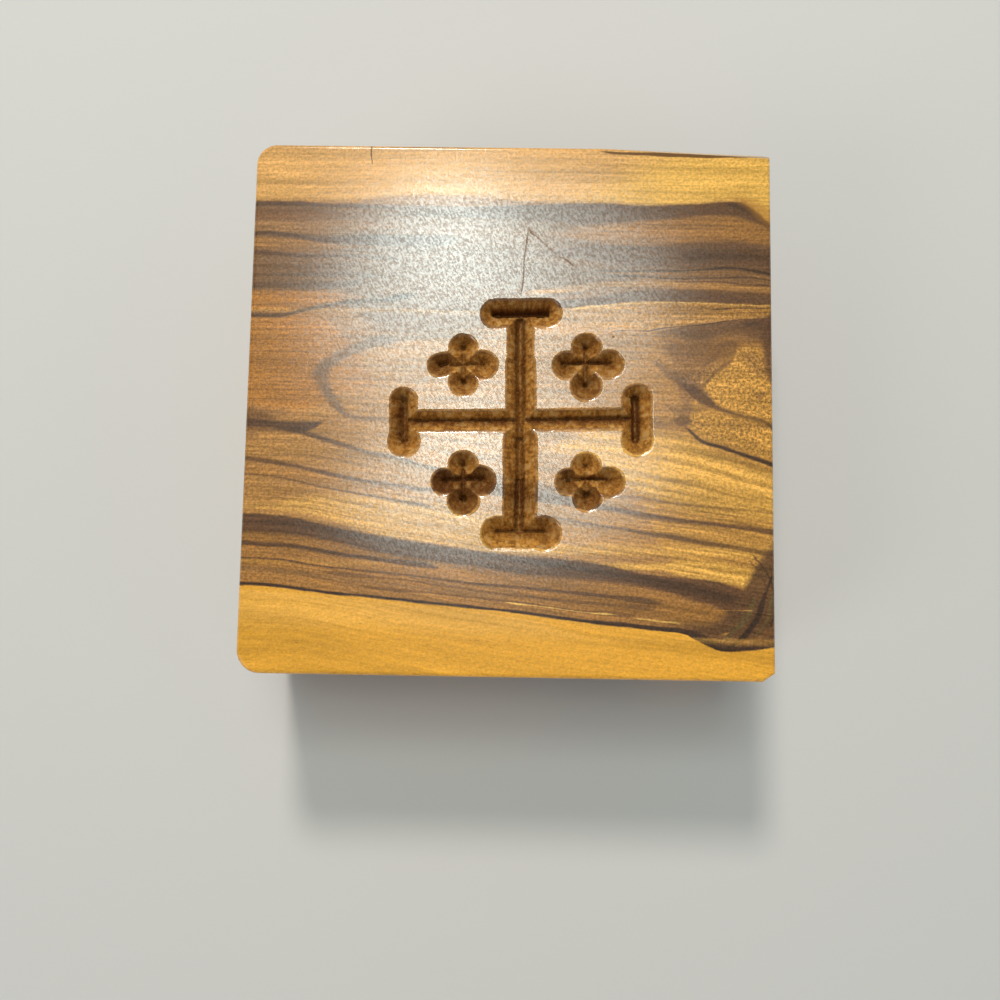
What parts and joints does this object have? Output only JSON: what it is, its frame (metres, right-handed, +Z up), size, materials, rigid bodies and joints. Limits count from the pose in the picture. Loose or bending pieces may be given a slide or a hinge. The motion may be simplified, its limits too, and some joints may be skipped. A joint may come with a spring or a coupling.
{
  "type": "hinged keepsake box",
  "caption": "Small solid-wood box for a rosary: a thick lid carved with a cross and crosslets, hinged to a base with a turned round well and held shut by magnets.",
  "frame": {"origin": "centre of the base block's flat bottom face", "axes": "+Z up through the lid, +Y towards the hinges at the back, +X to the right seen from the front"},
  "size_m": [0.076, 0.0791, 0.032],
  "materials": {
    "olive_wood": "satin lacquered olive wood with dark heartwood figure",
    "brass": "rolled brass, lightly tarnished",
    "screw_brass": "turned brass",
    "magnet_nickel": "nickel plate"
  },
  "bodies": {
    "base": {"base": "olive_wood", "left_hinge_base_leaf": "brass", "left_hinge_pin": "brass", "left_base_outer_screw": "screw_brass", "left_base_inner_screw": "screw_brass", "left_base_magnet": "magnet_nickel", "right_hinge_base_leaf": "brass", "right_hinge_pin": "brass", "right_base_outer_screw": "screw_brass", "right_base_inner_screw": "screw_brass", "right_base_magnet": "magnet_nickel"},
    "lid": {"lid": "olive_wood", "left_hinge_lid_leaf": "brass", "left_lid_outer_screw": "screw_brass", "left_lid_inner_screw": "screw_brass", "left_lid_magnet": "magnet_nickel", "right_hinge_lid_leaf": "brass", "right_lid_outer_screw": "screw_brass", "right_lid_inner_screw": "screw_brass", "right_lid_magnet": "magnet_nickel"}
  },
  "joints": [
    {"name": "lid_hinge", "type": "hinge", "parent": "base", "child": "lid", "pos_m": [0, 0.03895, 0.0221], "axis": [-1, 0, 0], "range_deg": [0, 180]}
  ]
}
